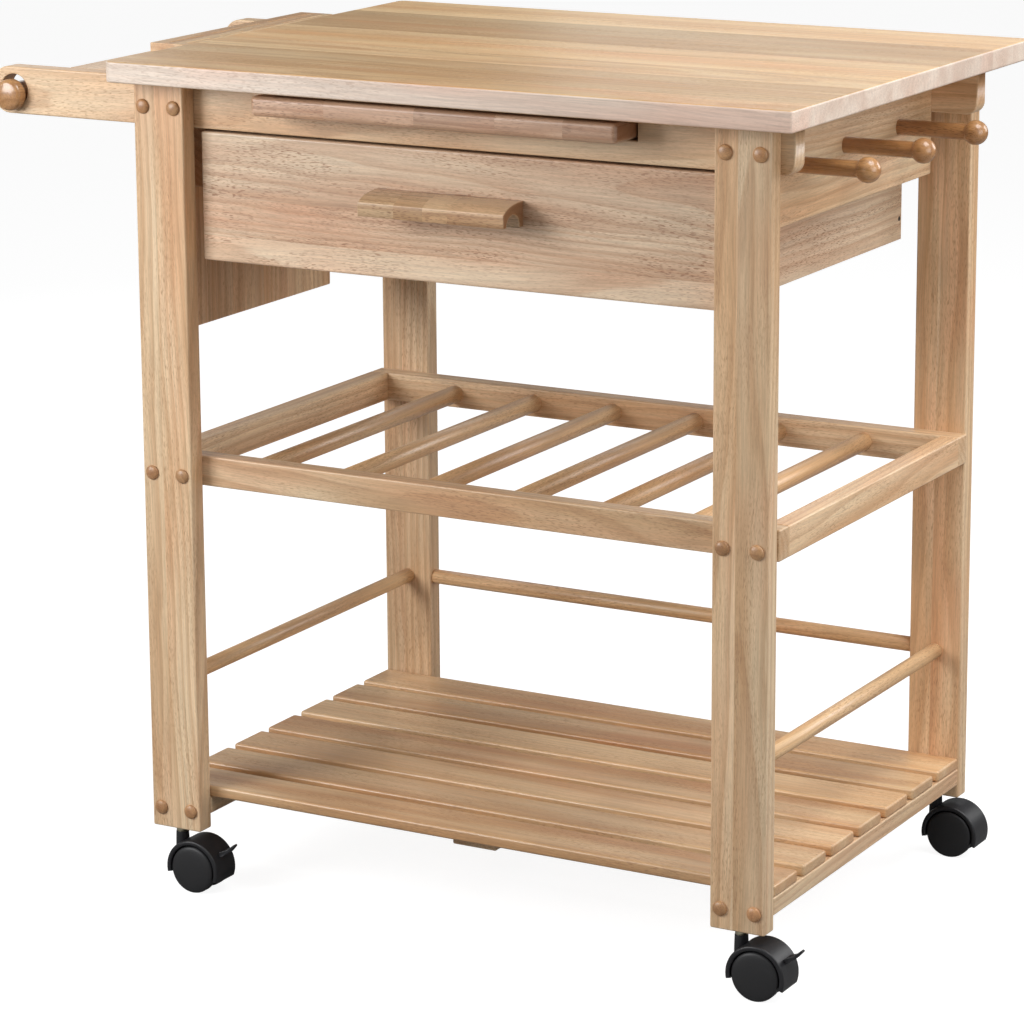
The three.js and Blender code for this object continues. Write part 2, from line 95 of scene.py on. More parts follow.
# Widths of the glued strips
TOP_STRIP = 58 * MM
CUTTING_BOARD_STRIP = 45 * MM
PANEL_STRIP = 130 * MM
GUARD_STRIP = 48 * MM
STRIP_VARY = 0.25  # how far a glue joint strays, as a share of the strip's width

# Where single glue joints are, as shares of the piece's length or width
LEG_JOINT = 0.42
APRON_JOINT = 0.45
DRAWER_JOINTS = (0.2, 0.5)
CUTTING_BOARD_JOINTS = (0.21, 0.46, 0.68, 0.86)
HANDLE_JOINTS = (0.25, 0.45, 0.62)

NOTCH_ROOM = 1.5 * MM  # around the cutting board, where it passes through the front rail
SHARP_EDGE = math.radians(35)  # an edge sharper than this gets rounded
ROD_HOLE_RADIUS = 16.5 * MM  # in the rails, for the towel rod
ROD_RADIUS = 12 * MM
KNOB_DEPTH = 15.2 * MM
KNOB_FRONT_ROUND = 5 * MM
KNOB_BACK_ROUND = 3 * MM
KNOB_CROWN = ((4, 0.1), (8, 0.5), (10.5, 1.2))  # radius and depth on the knob's face, mm
SHANK_RADIUS = 8 * MM  # of a peg
DOWEL_CHAMFER = 1.2 * MM

# Drawer handle
LIP_TOP, LIP_BOTTOM = 16 * MM, 3.5 * MM  # the flat front's edges, above the handle's lowest point
LIP_THICK, ROOT_THICK = 6 * MM, 8 * MM  # wood in front of the cove and behind it
CROWN_STEPS, COVE_STEPS = 14, 16

# Bolt caps
CAP_RADIUS = 7.5 * MM
CAP_HEIGHT = 4.2 * MM
CAP_OFFSET = 18 * MM  # either side of a leg's middle
CAP_DROP = 2.5 * MM  # below the middle of the rail that the bolt holds
CAP_RIM = 0.8 * MM  # height of a cap's widest ring
CAP_SEAT = 0.94 * CAP_RADIUS  # radius where the cap meets the leg

# Casters
WHEEL_RADIUS = 25 * MM
CASTER_TRAIL = 22 * MM
HOOD_OUTER = 31 * MM
HOOD_INNER = 26 * MM
HOOD_LOW = math.radians(-20)
HOOD_HIGH = math.radians(192)
HOOD_HALF = 18 * MM  # half its width along the axle
RING_HEIGHT = 4.5 * MM  # the steel ring between the neck and the leg
LEVER_ANGLE = math.radians(32)
LEVER_HALF = 7 * MM  # half its width at the root
LEVER_TIP = 17 * MM  # from the pivot to the tip's rounding
WEB_HALF = 4 * MM  # half the thickness of the web between the wheels
# One wheel from its hub cap to its inner hub: radius and distance from the caster's middle, mm
WHEEL_PROFILE = ((0.0, 19.9), (8.0, 19.8), (14.0, 19.5), (19.0, 19.0), (22.0, 18.4), (23.6, 17.7),
                 (24.5, 16.8), (25.0, 15.4), (25.0, 9.5), (24.6, 7.6), (23.5, 6.7), (22.4, 6.5),
                 (19.5, 6.5), (19.0, 9.0), (8.5, 9.0), (8.0, 6.5), (3.8, 6.5))

# Drawer screw: radius and how far it stands proud, mm
SCREW_PROFILE = ((0.0, 0.1), (0.8, 0.1), (1.4, 0.45), (2.1, 0.4), (2.5, 0), (2.5, -0.5), (0.0, -0.5))

# Stage
ROOM_GLOW, ROOM_SEEN = 0.15, 0.94  # the room's brightness for the cart, and for the camera
FLOOR_GREY, FLOOR_SEEN = 0.26, 0.9  # the same for the floor
FLOOR_HALF = 12.0


# ---------------------------------------------------------------- materials

def srgb(red, green, blue):
    """A colour as picked from a swatch, 0 to 255, as the linear colour that shaders take."""
    linear = []
    for v in (red, green, blue):
        linear.append(((v / 255 + 0.055) / 1.055) ** 2.4 if v > 10 else v / 255 / 12.92)
    return (*linear, 1.0)


class Shader:
    """A node material under construction."""

    def __init__(self, name):
        self.material = bpy.data.materials.new(name)
        self.material.use_nodes = True
        self.tree = self.material.node_tree
        self.surface = self.tree.nodes["Principled BSDF"]

    def add(self, kind, inputs=None, **settings):
        made = self.tree.nodes.new(kind)
        for key, value in settings.items():
            setattr(made, key, value)
        for key, value in (inputs or {}).items():
            self.feed(made.inputs[key], value)
        return made

    def feed(self, socket, value):
        if isinstance(value, bpy.types.NodeSocket):
            self.tree.links.new(value, socket)
        else:
            socket.default_value = value

    def math(self, operation, *values):
        return self.add("ShaderNodeMath", dict(enumerate(values)), operation=operation).outputs[0]

    def vector(self, operation, *values):
        return self.add("ShaderNodeVectorMath", dict(enumerate(values)), operation=operation).outputs[0]

    def mix(self, factor, first, second, blend="MIX"):
        made = self.add("ShaderNodeMix", {0: factor, 6: first, 7: second}, data_type="RGBA", blend_type=blend)
        return made.outputs[2]

    def spread(self, value, low, high, to_low=0.0, to_high=1.0):
        """value from low..high taken to to_low..to_high, smoothly and no further."""
        ends = {"Value": value, "From Min": low, "From Max": high, "To Min": to_low, "To Max": to_high}
        return self.add("ShaderNodeMapRange", ends, interpolation_type="SMOOTHSTEP").outputs[0]

    def noise(self, vector, scales, detail=2.0, roughness=0.5):
        place = self.vector("MULTIPLY", vector, scales)
        sizes = {"Vector": place, "Scale": 1.0, "Detail": detail, "Roughness": roughness}
        return self.add("ShaderNodeTexNoise", sizes).outputs["Fac"]

    def set(self, **values):
        for key, value in values.items():
            self.feed(self.surface.inputs[key.replace("_", " ")], value)


def wood(name, pale, warm, ring, pore, roughness=0.42, coat=0.4, coat_roughness=0.32, figure=0.42,
         fleck=1.0, variety=0.1, end_depth=0.25):
    """Lacquered hardwood. Each face corner carries its place in the tree (grain: along the trunk, then
    across it from the pith, in metres) and its look: tone, hue, end grain, and whether it lies on a rounded
    edge, which gets a painted highlight. figure says how strongly the rings show, fleck the pores, variety
    how strips differ, end_depth how dark end grain is."""
    s = Shader(name)
    place = s.add("ShaderNodeAttribute", attribute_name="grain").outputs["Vector"]
    look = s.add("ShaderNodeAttribute", attribute_name="look")
    parts = s.add("ShaderNodeSeparateColor", {"Color": look.outputs["Color"]})
    tone, hue, end = parts.outputs[0], parts.outputs[1], parts.outputs[2]
    edge = look.outputs["Alpha"]

    # Growth rings: distance from the pith, bent by slow waves
    waves = {"Vector": s.vector("MULTIPLY", place, RING_WAVE), "Scale": 1.0, "Detail": 2.0}
    wave = s.add("ShaderNodeTexNoise", waves).outputs["Color"]
    bend = s.vector("MULTIPLY", s.vector("SUBTRACT", wave, (0.5, 0.5, 0.5)), RING_BEND)
    bent = s.vector("ADD", place, bend)
    across = s.vector("MULTIPLY", bent, (0.0, 1.0, 1.0))
    radius = s.add("ShaderNodeVectorMath", {0: across}, operation="LENGTH").outputs["Value"]
    phase = s.math("FRACT", s.math("MULTIPLY", radius, 1 / RING_PITCH))
    late = s.math("MULTIPLY", s.spread(phase, 0.25, 0.88), s.spread(phase, 1.0, 0.9))

    # Fibres, slow patches of colour, a rosy blush, and short dark pores
    fibre = s.noise(bent, FIBRE, detail=4.0, roughness=0.65)
    patch = s.noise(place, PATCH, detail=2.0)
    blush = s.noise(s.vector("ADD", place, BLUSH_SHIFT), BLUSH, detail=1.0)
    pores = s.spread(s.noise(bent, PORE, detail=0.0), 0.56, 0.70)
    crowd = s.spread(s.noise(place, PORE_CROWD, detail=1.0), 0.35, 0.65, 0.25, 1.0)
    pores = s.math("MULTIPLY", pores, crowd)

    # Colour, from the slow changes to the fine ones
    colour = s.mix(s.spread(patch, 0.3, 0.7), pale, warm)
    colour = s.mix(s.math("MULTIPLY", late, figure), colour, ring)
    rosy = s.mix(1.0, colour, (1.04, 0.93, 0.90, 1.0), "MULTIPLY")
    colour = s.mix(s.math("MULTIPLY", s.spread(blush, 0.45, 0.7), hue), colour, rosy)
    shade = s.spread(fibre, 0.28, 0.72, 0.84, 1.10)
    colour = s.mix(1.0, colour, s.add("ShaderNodeCombineColor", {0: shade, 1: shade, 2: shade}).outputs[0],
                   "MULTIPLY")
    colour = s.mix(s.math("MULTIPLY", pores, 0.8 * fleck), colour, pore)
    colour = s.mix(s.math("MULTIPLY", end, end_depth), colour, ring)
    # Painted highlight: faces on the rounded edges are mixed a little towards the pale colour
    colour = s.mix(s.math("MULTIPLY", edge, 0.16), colour, pale)
    level = s.spread(tone, 0.0, 1.0, 1.0 - variety, 1.0 + 0.6 * variety)
    colour = s.mix(1.0, colour, s.add("ShaderNodeCombineColor", {0: level, 1: level, 2: level}).outputs[0],
                   "MULTIPLY")

    # Pores are duller and deeper than the wood round them
    dull = s.math("ADD", s.spread(fibre, 0.3, 0.7, roughness - 0.05, roughness + 0.08),
                  s.math("MULTIPLY", pores, 0.2))
    height = s.math("SUBTRACT", s.math("MULTIPLY", fibre, 0.35), pores)
    bump = s.add("ShaderNodeBump", {"Strength": 0.35, "Distance": 0.00025, "Height": height}).outputs[0]
    s.set(Base_Color=colour, Roughness=dull, Normal=bump, Coat_Weight=coat, Coat_Roughness=coat_roughness)
    return s.material


def plastic(name, base, scuffed, roughness):
    """Moulded plastic with a fine texture and pale scuffs."""
    s = Shader(name)
    place = s.add("ShaderNodeTexCoord").outputs["Object"]
    grit = s.noise(place, (2600.0,) * 3, detail=2.0)
    scuff = s.spread(s.noise(place, (90.0, 90.0, 160.0), detail=4.0, roughness=0.7), 0.55, 0.75)
    colour = s.mix(s.math("MULTIPLY", scuff, 0.5), base, scuffed)
    bump = s.add("ShaderNodeBump", {"Strength": 0.25, "Distance": 0.0001, "Height": grit}).outputs[0]
    s.set(Base_Color=colour, Roughness=s.spread(scuff, 0.0, 1.0, roughness, roughness + 0.15), Normal=bump)
    return s.material


def steel(name):
    """Zinc-plated steel, turned."""
    s = Shader(name)
    place = s.add("ShaderNodeTexCoord").outputs["Object"]
    lines = s.noise(place, (60.0, 60.0, 4000.0), detail=2.0)
    colour = s.mix(lines, srgb(178, 170, 140), srgb(212, 206, 184))
    s.set(Base_Color=colour, Roughness=s.spread(lines, 0.3, 0.7, 0.25, 0.4))
    s.surface.inputs["Metallic"].default_value = 1.0
    return s.material


FRAME_WOOD = wood("frame_wood", srgb(230, 203, 166), srgb(213, 173, 130), srgb(182, 134, 90),
                  srgb(152, 104, 66), fleck=0.65)
DRAWER_WOOD = wood("drawer_wood", srgb(228, 204, 174), srgb(210, 170, 137), srgb(186, 138, 102),
                   srgb(152, 104, 72))
HANDLE_WOOD = wood("handle_wood", srgb(220, 190, 152), srgb(198, 156, 114), srgb(140, 94, 56),
                   srgb(136, 92, 60), variety=0.04, end_depth=0.85)
TOP_WOOD = wood("tabletop_wood", srgb(232, 200, 152), srgb(214, 169, 115), srgb(188, 138, 86),
                srgb(158, 110, 68), roughness=0.36, coat=0.25, fleck=0.5, variety=0.24, end_depth=0.1)
# Painted sheen: the tabletop's edges get a paler, greyer copy of its wood, standing for the light that the
# edges catch
TOP_EDGE_SHEEN_WOOD = wood("tabletop_edge_painted_sheen", srgb(230, 214, 198), srgb(214, 190, 172), srgb(192, 160, 138),
                     srgb(160, 124, 100), coat=0.2, figure=0.12, fleck=0.45, variety=0.05, end_depth=0.0)
SLAT_WOOD = wood("slat_wood", srgb(226, 192, 148), srgb(200, 152, 104), srgb(180, 132, 88),
                 srgb(146, 100, 64), coat=0.6, coat_roughness=0.24, figure=0.16, fleck=0.6)
DOWEL_WOOD = wood("dowel_wood", srgb(228, 194, 150), srgb(212, 168, 120), srgb(184, 136, 90),
                  srgb(146, 100, 64), roughness=0.36, fleck=0.7)
TURNED_WOOD = wood("turned_wood", srgb(198, 150, 100), srgb(176, 124, 76), srgb(146, 96, 56),
                   srgb(108, 70, 40), roughness=0.3, coat=0.6, coat_roughness=0.14, fleck=0.9)
CAP_WOOD = wood("cap_wood", srgb(200, 156, 110), srgb(178, 130, 86), srgb(150, 104, 66),
                srgb(112, 76, 48), fleck=0.8)
BOARD_WOOD = wood("cutting_board_wood", srgb(208, 176, 150), srgb(184, 142, 110), srgb(150, 98, 58),
                  srgb(122, 84, 58), roughness=0.4, variety=0.14, end_depth=0.8)
BLOCK_WOOD = wood("knife_block_wood", srgb(224, 194, 152), srgb(202, 160, 114), srgb(172, 124, 80),
                  srgb(140, 96, 62), fleck=0.6)
RUNNER_WOOD = wood("runner_wood", srgb(206, 168, 120), srgb(190, 146, 98), srgb(162, 116, 74),
                   srgb(118, 80, 50), roughness=0.6, coat=0.0)
CASTER_PLASTIC = plastic("caster_plastic", srgb(28, 28, 31), srgb(46, 47, 52), 0.42)
WHEEL_PLASTIC = plastic("wheel_plastic", srgb(30, 30, 32), srgb(42, 42, 45), 0.5)
COLLAR_STEEL = steel("collar_steel")


# ---------------------------------------------------------------- mesh tools

def size_of(name):
    """A CAD node's lowest and highest corners and its middle, at rest."""
    low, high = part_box(name)
    return low, high, (low + high) / 2


def axis_point(axis, value):
    """A point on a world axis."""
    point = Vector((0.0, 0.0, 0.0))
    point[axis] = value
    return point


def strip_frame(name, key, cuts, low, high, along):
    """How one glued strip was cut from its tree: the pith's place, its slant, where along the trunk it
    starts, and how its colour differs."""
    rng = random.Random(f"{name} {key}")
    low, high = low.copy(), high.copy()
    for (axis, places), index in zip(cuts.items(), key):
        ends = [low[axis], *places, high[axis]]
        low[axis], high[axis] = ends[index], ends[index + 1]
    middle = (low + high) / 2
    turn = rng.uniform(0, 2 * math.pi)
    away = rng.uniform(0.03, 0.09)
    pith = axis_point(along, 0.0)
    second, third = [axis for axis in (X, Y, Z) if axis != along]
    pith[second] = middle[second] + away * math.cos(turn)
    pith[third] = middle[third] + away * math.sin(turn)
    slants = (rng.uniform(-0.03, 0.03), rng.uniform(-0.03, 0.03))
    start = rng.uniform(0, 20)
    return middle, pith, (second, third), slants, start, rng.random(), rng.random()


def paint_wood(bm, name, along, cuts=None):
    """Cuts the mesh where glued strips meet, and gives each face corner what wood() reads."""
    cuts = cuts or {}
    for axis, places in cuts.items():
        for place in places:
            geometry = bm.verts[:] + bm.edges[:] + bm.faces[:]
            bmesh.ops.bisect_plane(bm, geom=geometry, plane_co=axis_point(axis, place),
                                   plane_no=axis_point(axis, 1.0))
    bm.normal_update()
    grain = bm.loops.layers.float_vector.new("grain")
    look = bm.loops.layers.float_color.new("look")
    low = Vector([min(v.co[i] for v in bm.verts) for i in range(3)])
    high = Vector([max(v.co[i] for v in bm.verts) for i in range(3)])
    strips = {}
    for face in bm.faces:
        centre = face.calc_center_median()
        key = tuple(bisect(places, centre[axis]) for axis, places in cuts.items())
        if key not in strips:
            strips[key] = strip_frame(name, key, cuts, low, high, along)
        middle, pith, others, slants, start, tone, hue = strips[key]
        end = abs(face.normal[along])
        # Faces on rounded edges are marked for the painted highlight in wood()
        edge = 1.0 if max(abs(v) for v in face.normal) < 0.97 else 0.0
        for loop in face.loops:
            place = loop.vert.co
            run = place[along] - middle[along]
            across = [place[axis] - pith[axis] + slant * run for axis, slant in zip(others, slants)]
            loop[grain] = Vector((run + start, *across))
            loop[look] = (tone, hue, end ** 4, edge)


def add_piece(name, bm, material, body, nodes=(), flat_faces=True):
    """Turns the mesh into a piece that rides on a body and stands for CAD nodes."""
    bmesh.ops.recalc_face_normals(bm, faces=bm.faces[:])
    mesh = bpy.data.meshes.new(name)
    bm.to_mesh(mesh)
    bm.free()
    mesh.materials.append(material)
    mesh.polygons.foreach_set("use_smooth", [True] * len(mesh.polygons))
    piece = bpy.data.objects.new(name, mesh)
    bpy.context.scene.collection.objects.link(piece)
    if flat_faces:
        weighted = piece.modifiers.new("flat_faces", "WEIGHTED_NORMAL")
        weighted.keep_sharp = True
        weighted.weight = 100
    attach(piece, body)
    if nodes:
        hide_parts(*nodes)
    return piece


def rounded_box(low, high, rounding, segments):
    """A sawn board with its arrises rounded."""
    bm = bmesh.new()
    middle, size = (low + high) / 2, high - low
    matrix = Matrix.Translation(middle) @ Matrix.Diagonal((*size, 1.0))
    bmesh.ops.create_cube(bm, size=1.0, matrix=matrix)
    bmesh.ops.bevel(bm, geom=bm.edges[:], offset=rounding, segments=segments, profile=0.5, affect="EDGES",
                    clamp_overlap=True)
    return bm


def from_cad(name, rounding):
    """A copy of a CAD node's shape with whole flat faces and rounded arrises."""
    bm = bmesh.new()
    bm.from_mesh(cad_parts[name].data)
    bmesh.ops.remove_doubles(bm, verts=bm.verts[:], dist=WELD)
    bmesh.ops.dissolve_limit(bm, angle_limit=math.radians(1), verts=bm.verts[:], edges=bm.edges[:])
    edges = [e for e in bm.edges if len(e.link_faces) == 2 and e.calc_face_angle(0.0) > SHARP_EDGE]
    bmesh.ops.bevel(bm, geom=edges, offset=rounding, segments=2, profile=0.5, affect="EDGES",
                    clamp_overlap=False)
    return bm


def plate(loops, axis, start, end, rounding, segments=3):
    """A flat outline with holes, between two places on an axis, with rounded arrises. The loops are 2D
    points on the other two axes."""
    curve = bpy.data.curves.new("outline", "CURVE")
    curve.dimensions = "2D"
    curve.fill_mode = "BOTH"
    for loop in loops:
        spline = curve.splines.new("POLY")
        spline.points.add(len(loop) - 1)
        for point, (a, b) in zip(spline.points, loop):
            point.co = (a, b, 0.0, 1.0)
        spline.use_cyclic_u = True
    curve.extrude = abs(end - start) / 2 - rounding
    curve.bevel_depth = rounding
    curve.bevel_resolution = segments - 1
    curve.offset = -rounding
    holder = bpy.data.objects.new("outline", curve)
    bpy.context.scene.collection.objects.link(holder)
    depsgraph = bpy.context.evaluated_depsgraph_get()
    mesh = bpy.data.meshes.new_from_object(holder.evaluated_get(depsgraph))
    bpy.data.objects.remove(holder)
    bpy.data.curves.remove(curve)
    bm = bmesh.new()
    bm.from_mesh(mesh)
    bpy.data.meshes.remove(mesh)
    bmesh.ops.remove_doubles(bm, verts=bm.verts[:], dist=WELD)
    first, second = [other for other in (X, Y, Z) if other != axis]
    middle = (start + end) / 2
    for vert in bm.verts:
        a, b, c = vert.co
        place = Vector((0.0, 0.0, 0.0))
        place[first], place[second], place[axis] = a, b, middle + c
        vert.co = place
    bmesh.ops.recalc_face_normals(bm, faces=bm.faces[:])
    return bm


def arc(centre, radius, start, end, steps):
    """Points on an arc, angles in degrees."""
    angles = [math.radians(start + (end - start) * i / steps) for i in range(steps + 1)]
    return [(centre[0] + radius * math.cos(a), centre[1] + radius * math.sin(a)) for a in angles]


def turned(profile, axis, centre, segments=48):
    """A lathe-turned shape. The profile is (radius, place on the axis) from end to end, centre is any point
    on the axis."""
    bm = bmesh.new()
    first, second = [other for other in (X, Y, Z) if other != axis]
    rings = []
    for radius, place in profile:
        ring = []
        count = 1 if radius < 1e-7 else segments
        for i in range(count):
            angle = 2 * math.pi * i / segments
            point = Vector((0.0, 0.0, 0.0))
            point[axis] = place
            point[first] = centre[first] + radius * math.cos(angle)
            point[second] = centre[second] + radius * math.sin(angle)
            ring.append(bm.verts.new(point))
        rings.append(ring)
    for lower, upper in zip(rings, rings[1:]):
        for i in range(segments):
            j = (i + 1) % segments
            corners = [lower[i % len(lower)], lower[j % len(lower)],
                       upper[j % len(upper)], upper[i % len(upper)]]
            unique = list(dict.fromkeys(corners))
            if len(unique) > 2:
                bm.faces.new(unique)
    bmesh.ops.recalc_face_normals(bm, faces=bm.faces[:])
    return bm


def merged(parts):
    """Several meshes as one."""
    whole = bmesh.new()
    for part in parts:
        mesh = bpy.data.meshes.new("part")
        part.to_mesh(mesh)
        part.free()
        whole.from_mesh(mesh)
        bpy.data.meshes.remove(mesh)
    return whole


def strip_cuts(name, low, high, pitch):
    """Where glued strips of about that width meet."""
    count = max(1, round((high - low) / pitch))
    rng = random.Random(f"{name} strips")
    width = (high - low) / count
    return [low + width * (i + rng.uniform(-STRIP_VARY, STRIP_VARY)) for i in range(1, count)]


# ---------------------------------------------------------------- boards

def board(name, along, material, rounding=BOARD_ROUND, cuts=None, segments=3, body="frame"):
    """A sawn board with its grain along an axis, in place of the CAD node of that name."""
    low, high, _ = size_of(name)
    bm = rounded_box(low, high, rounding, segments)
    paint_wood(bm, name, along, cuts)
    add_piece(f"{name}_wood", bm, material, body, [name])


def make_tabletop():
    """Glued staves with two rounder corners on the left, and paler, greyer wood on the edges as a painted
    sheen.
    """
    low, high, _ = size_of("tabletop")
    outline = []
    corners = ((high.x, low.y, -90, TOP_CORNER_RIGHT), (high.x, high.y, 0, TOP_CORNER_RIGHT),
               (low.x, high.y, 90, TOP_CORNER_LEFT), (low.x, low.y, 180, TOP_CORNER_LEFT))
    for x, y, start, corner in corners:
        inward = math.radians(start + 45)
        centre = (x - math.copysign(corner, math.cos(inward)), y - math.copysign(corner, math.sin(inward)))
        outline += arc(centre, corner, start, start + 90, 8)
    bm = plate([outline], Z, low.z, high.z, TOP_ROUND, segments=4)
    paint_wood(bm, "tabletop", X, {Y: strip_cuts("tabletop", low.y, high.y, TOP_STRIP)})
    for face in bm.faces:
        face.material_index = int(abs(face.normal.z) < 0.6)  # the second material is the edges' painted sheen
    piece = add_piece("tabletop_wood", bm, TOP_WOOD, "frame", ["tabletop"])
    piece.data.materials.append(TOP_EDGE_SHEEN_WOOD)


def make_legs():
    for end in ("front", "rear"):
        for side in ("left", "right"):
            name = f"leg_{end}_{side}"
            low, high, _ = size_of(name)
            board(name, Z, FRAME_WOOD, cuts={X: [low.x + LEG_JOINT * (high.x - low.x)]})


def rail_outline(low, high, notch):
    """An upper rail seen from the front: a rounded arm on the left, a rounded lower corner on the right."""
    arm, corner = 20 * MM, 12 * MM
    points = arc((high.x - corner, low.z + corner), corner, -90, 0, 8) + [(high.x, high.z)]
    if notch:
        left, right, bottom = notch
        points += [(right, high.z), (right, bottom), (left, bottom), (left, high.z)]
    points += arc((low.x + arm, high.z - arm), arm, 90, 180, 12)
    points += arc((low.x + arm, low.z + arm), arm, 180, 270, 12)
    return points


def make_rails():
    rod = size_of("towel_rod")[2]
    board_low, board_high, _ = size_of("cutting_board")
    notch = (board_low.x - NOTCH_ROOM, board_high.x + NOTCH_ROOM, board_low.z - NOTCH_ROOM)
    for name in ("front_rail", "rear_rail"):
        low, high, middle = size_of(name)
        outline = rail_outline(low, high, notch if name == "front_rail" else None)
        hole = arc((rod.x, middle.z), ROD_HOLE_RADIUS, 0, 352.5, 47)
        bm = plate([outline, hole], Y, low.y, high.y, RAIL_ROUND)
        paint_wood(bm, name, X)
        add_piece(f"{name}_wood", bm, FRAME_WOOD, "frame", [name])


def make_aprons():
    board("apron_left", Y, FRAME_WOOD)
    low, high, _ = size_of("apron_right")
    board("apron_right", Y, FRAME_WOOD, cuts={Z: [low.z + APRON_JOINT * (high.z - low.z)]})


def make_cutting_board():
    low, high, _ = size_of("cutting_board")
    pieces = [low.x + (high.x - low.x) * share for share in CUTTING_BOARD_JOINTS]
    strips = strip_cuts("cutting_board", low.y, high.y, CUTTING_BOARD_STRIP)
    bm = rounded_box(low, high, CUTTING_BOARD_ROUND, 4)
    paint_wood(bm, "cutting_board", X, {Y: strips, X: pieces})
    add_piece("cutting_board_wood", bm, BOARD_WOOD, "cutting_board", ["cutting_board"])
    for side in ("left", "right"):
        name = f"board_guide_{side}"
        bm = from_cad(name, THIN_ROUND)
        paint_wood(bm, name, Y)
        add_piece(f"{name}_wood", bm, RUNNER_WOOD, "frame", [name])


def make_drawer():
    low, high, _ = size_of("drawer_front")
    joints = {Z: [low.z + share * (high.z - low.z) for share in DRAWER_JOINTS]}
    board("drawer_front", X, DRAWER_WOOD, DRAWER_ROUND, joints, 4, "drawer")
    for side in ("left", "right"):
        name = f"drawer_side_{side}"
        bm = from_cad(name, THIN_ROUND)
        paint_wood(bm, name, Y)
        add_piece(f"{name}_wood", bm, DRAWER_WOOD, "drawer", [name])
        board(f"drawer_runner_{side}", Y, RUNNER_WOOD, THIN_ROUND)
    board("drawer_back", X, DRAWER_WOOD, THIN_ROUND, body="drawer")
    low, high, _ = size_of("drawer_bottom")
    strips = {Y: strip_cuts("drawer_bottom", low.y, high.y, PANEL_STRIP)}
    board("drawer_bottom", X, RUNNER_WOOD, PANEL_ROUND, strips, 1, "drawer")
    make_handle()
    make_drawer_screws()


def make_handle():
    """A moulded pull: a rounded top, a flat lip, and a cove behind the lip for the fingers."""
    low, high, _ = size_of("drawer_handle")
    back, front = high.y, low.y
    lip_top, lip_bottom = low.z + LIP_TOP, low.z + LIP_BOTTOM
    top = [(back, high.z)]
    for i in range(CROWN_STEPS + 1):  # a quadratic curve from the back down to the lip
        t = i / CROWN_STEPS
        y = (1 - t) ** 2 * (back - 6 * MM) + 2 * t * (1 - t) * (front + 8 * MM) + t * t * front
        z = (1 - t) ** 2 * high.z + 2 * t * (1 - t) * (high.z - 0.5 * MM) + t * t * lip_top
        top.append((y, z))
    cove_y = (front + LIP_THICK + back - ROOT_THICK) / 2
    cove_z = low.z + 3 * MM
    radius = (back - ROOT_THICK - front - LIP_THICK) / 2
    cove = []
    for i in range(COVE_STEPS + 1):
        a = math.pi * i / COVE_STEPS
        cove.append((cove_y - radius * math.cos(a), cove_z + 0.9 * radius * math.sin(a)))
    outline = top + [(front, lip_bottom), *cove, (back - ROOT_THICK, low.z), (back, low.z)]
    bm = plate([outline], X, low.x, high.x, 1.0 * MM)
    pieces = [low.x + (high.x - low.x) * share for share in HANDLE_JOINTS]
    paint_wood(bm, "drawer_handle", X, {X: pieces})
    add_piece("drawer_handle_wood", bm, HANDLE_WOOD, "drawer", ["drawer_handle"])


def make_drawer_screws():
    """The dark screw that holds the drawer's back, near the rear of each side."""
    for side, sign in (("left", -1), ("right", 1)):
        low, high, _ = size_of(f"drawer_side_{side}")
        face = high.x if sign > 0 else low.x
        place = Vector((face, high.y - 6 * MM, low.z + 22 * MM))
        profile = [(radius * MM, face + sign * proud * MM) for radius, proud in SCREW_PROFILE]
        bm = turned(profile, X, place, 24)
        add_piece(f"drawer_screw_{side}", bm, CASTER_PLASTIC, "drawer",
                  flat_faces=False)


def make_rack():
    for name in ("rack_front_rail", "rack_rear_rail"):
        board(name, X, FRAME_WOOD)
    for side in ("left", "right"):
        board(f"rack_side_rail_{side}", Y, FRAME_WOOD)
    for i in range(1, 7):
        dowel(f"rack_dowel_{i}", Y)


def make_bottom_shelf():
    for i in range(1, 8):
        board(f"slat_{i}", X, SLAT_WOOD, SLAT_ROUND, segments=4)
    for place in ("left", "right", "middle"):
        board(f"slat_support_{place}", Y, FRAME_WOOD)


def make_knife_station():
    for name, material, slot in (("knife_block", BLOCK_WOOD, "cutting_board_wood"),
                                 ("side_board", FRAME_WOOD, "frame_wood")):
        bm = from_cad(name, THIN_ROUND)
        paint_wood(bm, name, Y)
        add_piece(f"{name}_wood", bm, material, "frame", [name])
    low, high, _ = size_of("knife_guard")
    strips = {Y: strip_cuts("knife_guard", low.y, high.y, GUARD_STRIP)}
    board("knife_guard", Z, FRAME_WOOD, RAIL_ROUND, strips)


# ---------------------------------------------------------------- turned pieces

def dowel(name, axis):
    """A plain rod with chamfered ends."""
    low, high, middle = size_of(name)
    radius = (high - low)[Z] / 2
    start, end, inner = low[axis], high[axis], radius - DOWEL_CHAMFER
    profile = [(0.0, start), (inner, start), (radius, start + DOWEL_CHAMFER),
               (radius, end - DOWEL_CHAMFER), (inner, end), (0.0, end)]
    bm = turned(profile, axis, middle)
    paint_wood(bm, name, axis)
    add_piece(f"{name}_wood", bm, DOWEL_WOOD, "frame", [name], flat_faces=False)


def make_guard_dowels():
    dowel("guard_dowel_left", Y)
    dowel("guard_dowel_right", Y)
    dowel("guard_dowel_rear", X)


def make_pegs():
    """Shank, a short neck fillet and a ball."""
    shank, steps = SHANK_RADIUS, 24
    for i in (1, 2, 3):
        low, high, middle = size_of(f"peg_{i}")
        ball = (high.z - low.z) / 2
        ball_x = high.x - ball
        neck = math.pi - math.asin(shank / ball)
        profile = [(0.0, low.x), (shank - 1 * MM, low.x), (shank, low.x + 1 * MM)]
        profile += [(shank, ball_x + ball * math.cos(neck) - 1.5 * MM)]
        for k in range(steps + 1):
            angle = neck * 0.985 * (1 - k / steps)
            profile.append((ball * math.sin(angle) if k < steps else 0.0, ball_x + ball * math.cos(angle)))
        bm = turned(profile, X, middle)
        paint_wood(bm, f"peg_{i}", X)
        add_piece(f"peg_{i}_wood", bm, TURNED_WOOD, "frame", [f"peg_{i}"], flat_faces=False)


